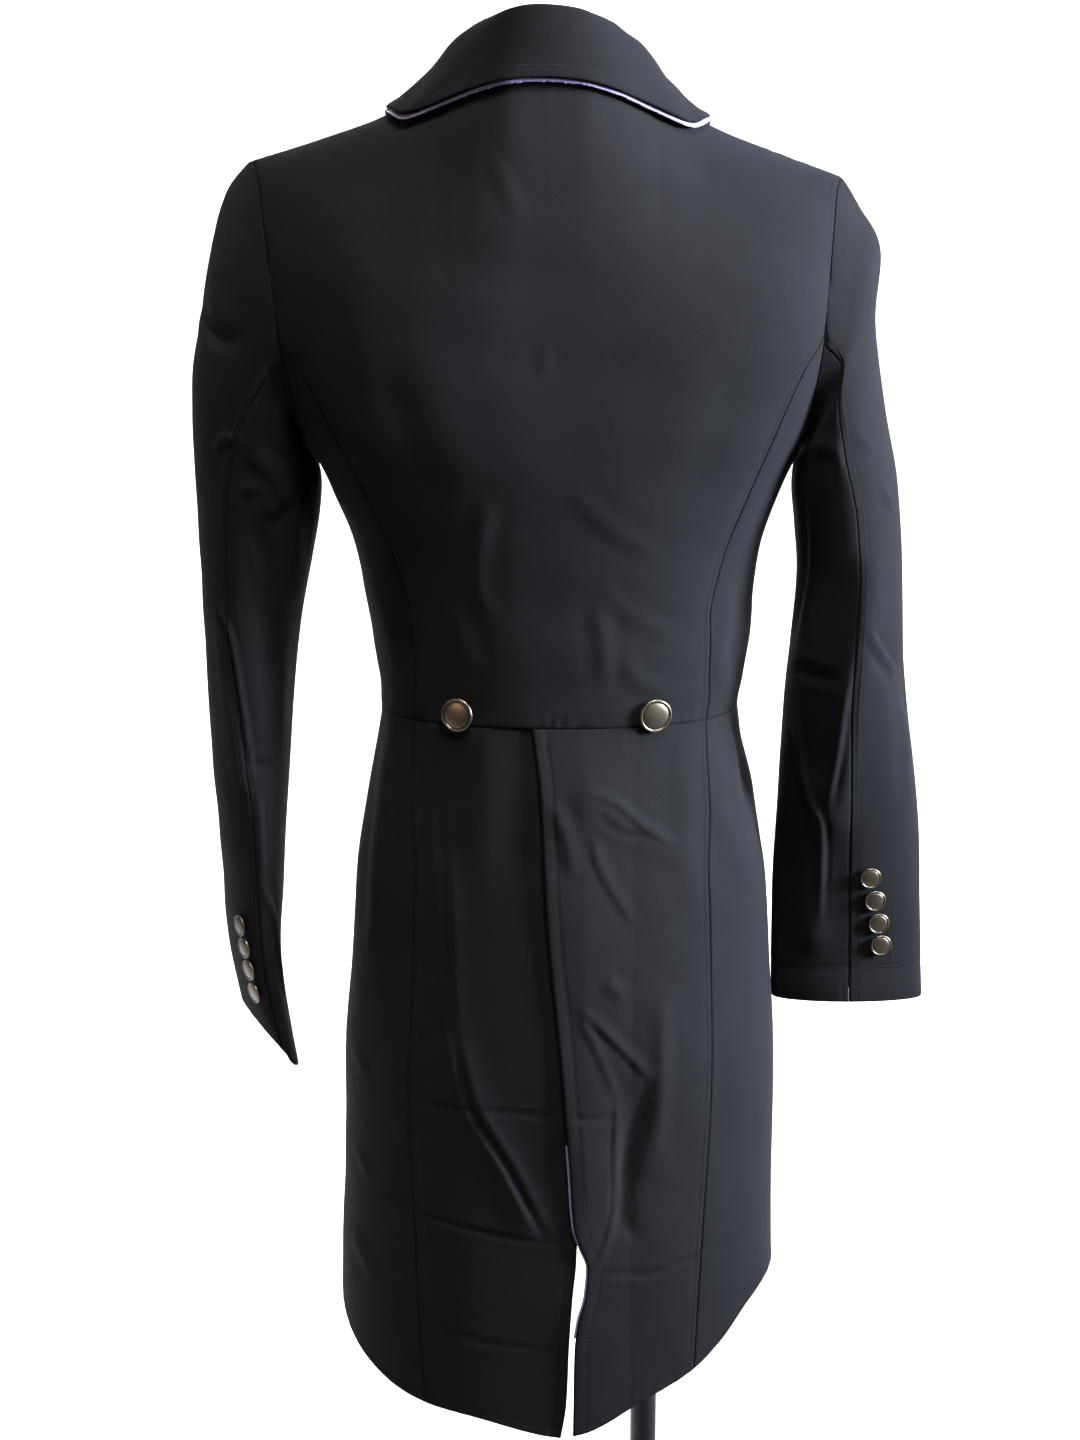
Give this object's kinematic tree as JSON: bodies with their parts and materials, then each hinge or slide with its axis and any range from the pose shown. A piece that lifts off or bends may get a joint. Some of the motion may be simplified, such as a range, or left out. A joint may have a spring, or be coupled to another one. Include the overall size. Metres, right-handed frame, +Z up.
{
  "type": "shadbelly coat on a limbless dress form",
  "caption": "Black dressage tailcoat with long split tails and metal buttons, filled out on a limbless dress form with a pole and a round base.",
  "frame": {"origin": "on the floor, under the middle of the torso, on the underside of the round base", "axes": "+Z up; the coat's back faces -Y; the wearer's right is +X"},
  "size_m": [0.5094, 0.37, 1.5061],
  "materials": {
    "cloth": "matte fine twill",
    "felt": "lilac felt",
    "button": "antique pewter",
    "form": "stretched jersey cover",
    "steel": "dark grey satin"
  },
  "bodies": {
    "root": {"back": "cloth", "side_left": "cloth", "side_right": "cloth", "front_left": "cloth", "front_right": "cloth", "lapel_left": "cloth", "lapel_right": "cloth", "collar": "cloth", "undercollar": "felt", "sleeve_outer_left": "cloth", "sleeve_outer_right": "cloth", "sleeve_under_left": "cloth", "sleeve_under_right": "cloth", "tail_back_left": "cloth", "tail_back_right": "cloth", "tail_side_left": "cloth", "tail_side_right": "cloth", "vent_facing": "felt", "waist_button_left": "button", "waist_button_right": "button", "cuff_button_left_1": "button", "cuff_button_left_2": "button", "cuff_button_left_3": "button", "cuff_button_left_4": "button", "cuff_button_right_1": "button", "cuff_button_right_2": "button", "cuff_button_right_3": "button", "cuff_button_right_4": "button", "front_button_left_1": "button", "front_button_left_2": "button", "front_button_left_3": "button", "front_button_right_1": "button", "front_button_right_2": "button", "front_button_right_3": "button", "form_torso": "form", "form_pole": "steel", "form_base": "steel"}
  },
  "joints": []
}
